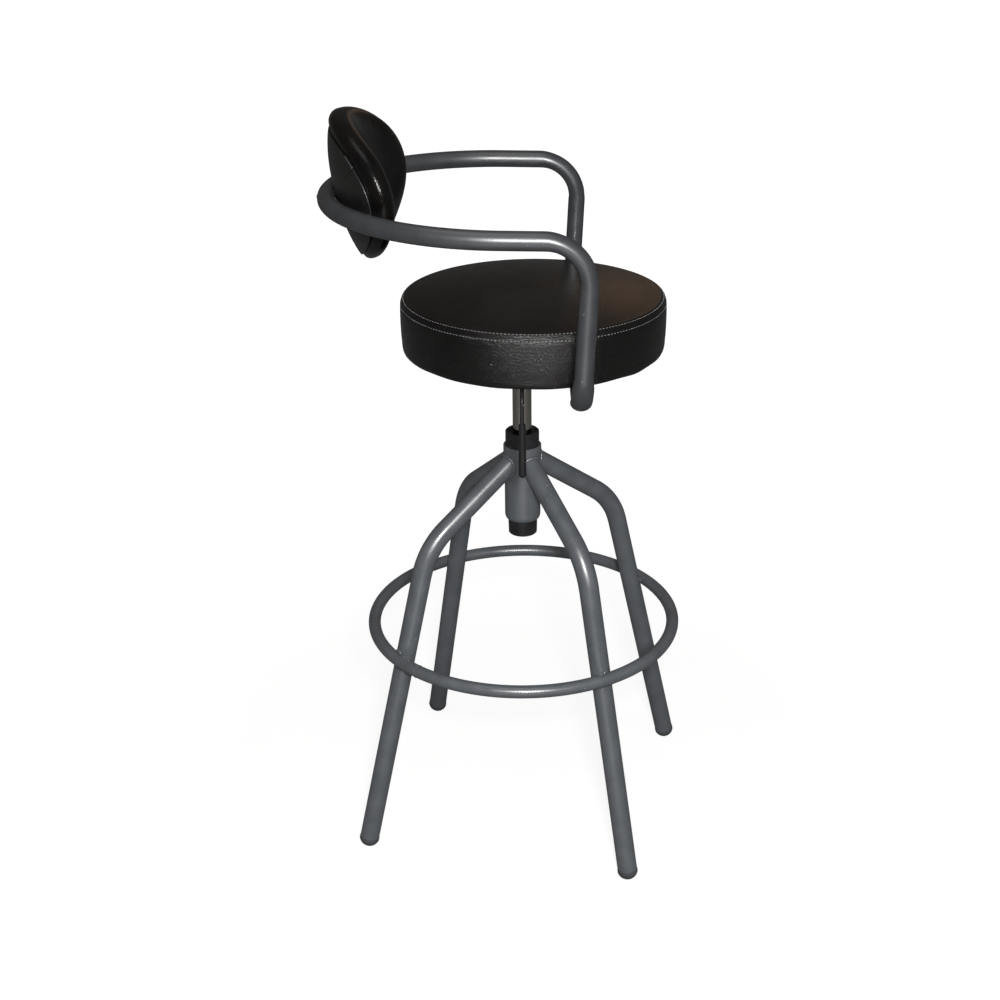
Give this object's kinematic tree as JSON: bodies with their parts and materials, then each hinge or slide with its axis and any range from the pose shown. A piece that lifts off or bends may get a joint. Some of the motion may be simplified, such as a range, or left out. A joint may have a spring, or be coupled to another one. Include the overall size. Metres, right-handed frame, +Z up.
{
  "type": "bar stool",
  "caption": "Swivelling, height-adjustable bar stool with a round padded seat, wrap-around tubular arms with a padded backrest, bent tube legs and a foot ring.",
  "frame": {"origin": "on the floor, under the centre line of the column", "axes": "+Z up along the column, -Y towards the front of the seat, -X towards the sitter's right hand"},
  "size_m": [0.5106, 0.534, 1.0918],
  "materials": {
    "tube_paint": "satin charcoal powder coat",
    "column_black": "satin black coat",
    "cylinder_steel": "ground, grey",
    "bright_steel": "bright",
    "zinc_steel": "zinc plated",
    "moulded_black": "fine moulded texture",
    "rubber_black": "matt",
    "plywood": "sanded birch plywood",
    "foam": "cut foam",
    "black_vinyl": "glossy black vinyl with a fine grain"
  },
  "bodies": {
    "base": {"leg_back_left": "tube_paint", "leg_back_right": "tube_paint", "leg_front_right": "tube_paint", "leg_front_left": "tube_paint", "glide_back_left": "moulded_black", "glide_back_right": "moulded_black", "glide_front_right": "moulded_black", "glide_front_left": "moulded_black", "foot_ring": "tube_paint", "hub_sleeve": "tube_paint", "column_tube": "column_black", "guide_bush": "moulded_black", "bearing_race_lower": "bright_steel"},
    "rod": {"bearing_balls": "bright_steel", "bearing_cage": "moulded_black", "bearing_race_upper": "bright_steel", "rubber_bumper": "rubber_black", "piston_rod": "bright_steel", "piston_head": "bright_steel", "rod_washer": "bright_steel", "rod_clip": "bright_steel"},
    "seat": {"gas_cylinder": "cylinder_steel", "rod_seal": "rubber_black", "seat_plate": "column_black", "taper_socket": "column_black", "lever_bracket": "bright_steel", "lever_pin": "bright_steel", "seat_board": "plywood", "seat_nuts": "bright_steel", "plate_bolts": "zinc_steel", "arm_bolts": "zinc_steel", "bolt_washers": "zinc_steel", "seat_foam": "foam", "seat_cover": "black_vinyl", "arm_hoop": "tube_paint", "hoop_plugs": "moulded_black", "arm_bracket_right": "column_black", "arm_bracket_left": "column_black", "back_screws": "zinc_steel", "back_spacers": "moulded_black", "back_shell": "moulded_black", "back_board": "plywood", "back_nuts": "bright_steel", "back_foam": "foam", "back_cover": "black_vinyl"},
    "lever": {"lever_rod": "column_black", "lever_grip": "moulded_black"},
    "pin": {"release_pin": "bright_steel"}
  },
  "joints": [
    {"name": "swivel", "type": "hinge", "parent": "base", "child": "rod", "pos_m": [0, 0, 0.4625], "axis": [0, 0, 1], "continuous": true},
    {"name": "lift", "type": "slide", "parent": "rod", "child": "seat", "axis": [0, 0, 1], "range_m": [-0.075, 0]},
    {"name": "lever_tilt", "type": "hinge", "parent": "seat", "child": "lever", "pos_m": [-0.032, 0, 0.7446], "axis": [0, 1, 0], "range_deg": [0, 3], "stiffness_Nm_per_rad": 2},
    {"name": "pin_press", "type": "slide", "parent": "seat", "child": "pin", "axis": [0, 0, -1], "range_m": [0, 0.002]}
  ],
  "couplings": [
    {"joint": "pin_press", "follows": "lever_tilt", "m_per_rad": 0.036}
  ]
}
